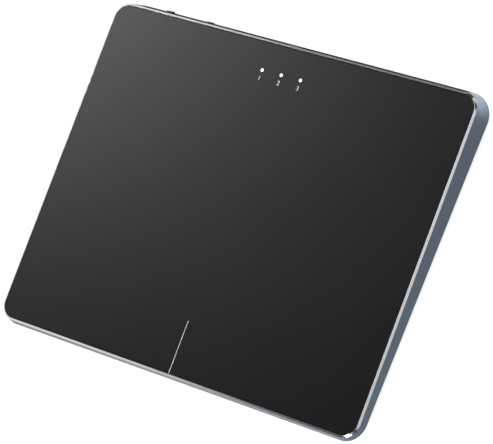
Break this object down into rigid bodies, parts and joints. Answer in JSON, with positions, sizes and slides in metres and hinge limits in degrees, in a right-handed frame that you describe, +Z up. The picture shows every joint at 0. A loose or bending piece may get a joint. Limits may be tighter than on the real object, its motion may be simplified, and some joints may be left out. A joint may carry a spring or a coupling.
{
  "type": "trackpad",
  "caption": "Wireless trackpad: satin black click plate in a blue-grey aluminium wedge frame, with indicator lights, a slide switch and a push button.",
  "frame": {"origin": "on the surface it stands on, under the middle of the base outline", "axes": "+X to the user's right, +Y to the rear, +Z up"},
  "size_m": [0.1654, 0.1294, 0.0096],
  "materials": {
    "anodised_frame": "blue-grey anodised, bead-blasted, with a bright polished top bevel",
    "black_shell": "fine-textured moulded black ABS",
    "foot_rubber": "soft black rubber",
    "black_touch_surface": "satin black, finely etched",
    "adhesive": "clear pressure-sensitive sheet",
    "green_board": "green solder resist on glass epoxy",
    "steel_sheet": "cold-rolled sheet",
    "steel_turned": "turned steel",
    "screw_steel": "black zinc",
    "light_lens": "clear light window, lit",
    "led_body": "phosphor-coated",
    "chip_resin": "moulded epoxy",
    "crystal_can": "nickel-plated can",
    "antenna_ceramic": "white ceramic",
    "black_moulding": "fine-textured black plastic",
    "switch_moulding": "dark grey switch plastic",
    "socket_moulding": "ivory connector plastic",
    "ribbon_film": "white polyester ribbon",
    "cell_pouch": "laminated foil pouch",
    "red_insulation": "red silicone",
    "black_insulation": "black silicone"
  },
  "bodies": {
    "base": {"side_frame": "anodised_frame", "bottom_cover": "black_shell", "rubber_feet": "foot_rubber", "cover_screws": "screw_steel", "hinge_brackets": "steel_sheet", "hinge_pins": "steel_turned", "hinge_screws": "screw_steel", "striker_disc": "steel_turned", "main_board": "green_board", "board_screws": "screw_steel", "usb_c_shell": "steel_sheet", "usb_c_tongue": "black_moulding", "power_switch_body": "switch_moulding", "select_switch_body": "switch_moulding", "radio_chip": "chip_resin", "radio_shield": "steel_sheet", "crystal": "crystal_can", "charger_chip": "chip_resin", "antenna": "antenna_ceramic", "board_ribbon_socket": "socket_moulding", "battery_cell": "cell_pouch", "battery_tape": "adhesive", "battery_header": "socket_moulding", "battery_plug": "socket_moulding", "battery_lead_red": "red_insulation", "battery_lead_black": "black_insulation"},
    "touch_plate": {"touch_surface": "black_touch_surface", "surface_adhesive": "adhesive", "sensor_board": "green_board", "indicator_leds": "led_body", "indicator_lenses": "light_lens", "stiffener_plate": "steel_sheet", "click_switch_body": "switch_moulding", "touch_controller": "chip_resin", "plate_ribbon_socket": "socket_moulding", "ribbon_cable": "ribbon_film"},
    "snap_plunger": {"click_plunger": "switch_moulding"},
    "power_slider": {"power_switch_lever": "switch_moulding", "power_switch_knob": "black_moulding"},
    "select_button": {"select_switch_plunger": "switch_moulding", "select_button_cap": "black_moulding"}
  },
  "joints": [
    {"name": "plate_click", "type": "hinge", "parent": "base", "child": "touch_plate", "pos_m": [0, 0.05314, 0.00545], "axis": [1, 0, 0], "range_deg": [0, 0.1335], "stiffness_Nm_per_rad": 32, "springref_deg": -0.21},
    {"name": "plunger_press", "type": "slide", "parent": "touch_plate", "child": "snap_plunger", "axis": [0, -0.0344, 0.9994], "range_m": [0, 0.000252]},
    {"name": "power_slide", "type": "slide", "parent": "base", "child": "power_slider", "axis": [1, 0, 0], "range_m": [0, 0.002]},
    {"name": "select_press", "type": "slide", "parent": "base", "child": "select_button", "axis": [0, -1, 0], "range_m": [0, 0.0004], "stiffness_N_per_m": 3000, "springref_m": -0.0001}
  ],
  "couplings": [
    {"joint": "plunger_press", "follows": "plate_click", "m_per_rad": 0.1073}
  ]
}
